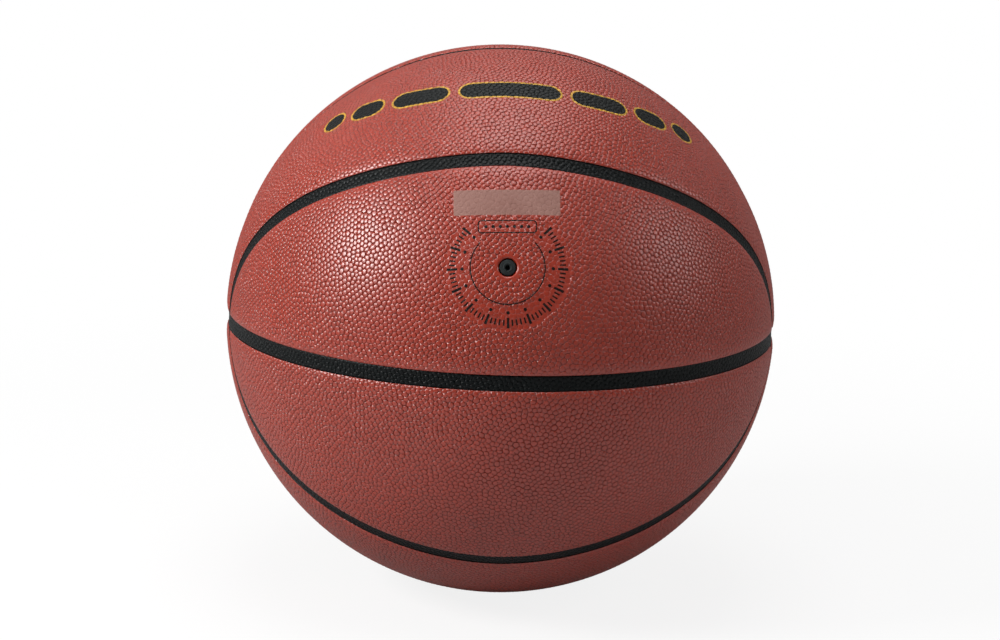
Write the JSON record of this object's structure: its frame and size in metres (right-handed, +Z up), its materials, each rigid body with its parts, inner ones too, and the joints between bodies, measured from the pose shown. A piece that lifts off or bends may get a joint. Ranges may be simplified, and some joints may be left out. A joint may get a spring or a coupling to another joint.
{
  "type": "basketball",
  "caption": "Inflated basketball with pebbled leather-look panels, sunken black channel strips, a cushioned wound carcass, a bladder and a pull-out rubber needle valve.",
  "frame": {"origin": "centre of the ball", "axes": "+Z up with the equator seam level in Z = 0, X along the line where the equator and meridian seams cross, and the valve on the -Y side"},
  "size_m": [0.2384, 0.2394, 0.2394],
  "materials": {
    "panel_leather": "satin",
    "strip_leather": "satin",
    "sponge_rubber": "matte",
    "carcass_rubber": "matte",
    "nylon_thread": "matte",
    "butyl_rubber": "satin",
    "valve_rubber": "satin"
  },
  "bodies": {
    "ball": {"oval_panel_front_upper": "panel_leather", "oval_panel_back_upper": "panel_leather", "oval_panel_front_lower": "panel_leather", "oval_panel_back_lower": "panel_leather", "band_panel_front_upper": "panel_leather", "band_panel_back_upper": "panel_leather", "band_panel_front_lower": "panel_leather", "band_panel_back_lower": "panel_leather", "oval_strip_front_upper": "strip_leather", "oval_strip_back_upper": "strip_leather", "oval_strip_front_lower": "strip_leather", "oval_strip_back_lower": "strip_leather", "equator_strip_front": "strip_leather", "equator_strip_back": "strip_leather", "meridian_strip_upper": "strip_leather", "meridian_strip_lower": "strip_leather", "cushion_layer": "sponge_rubber", "carcass": "carcass_rubber", "thread_winding": "nylon_thread", "bladder": "butyl_rubber", "valve_housing": "butyl_rubber"},
    "valve_core": {"valve_core": "valve_rubber"}
  },
  "joints": [
    {"name": "valve_core_slide", "type": "slide", "parent": "ball", "child": "valve_core", "axis": [0, -0.9239, 0.3827], "range_m": [0, 0.022]}
  ]
}
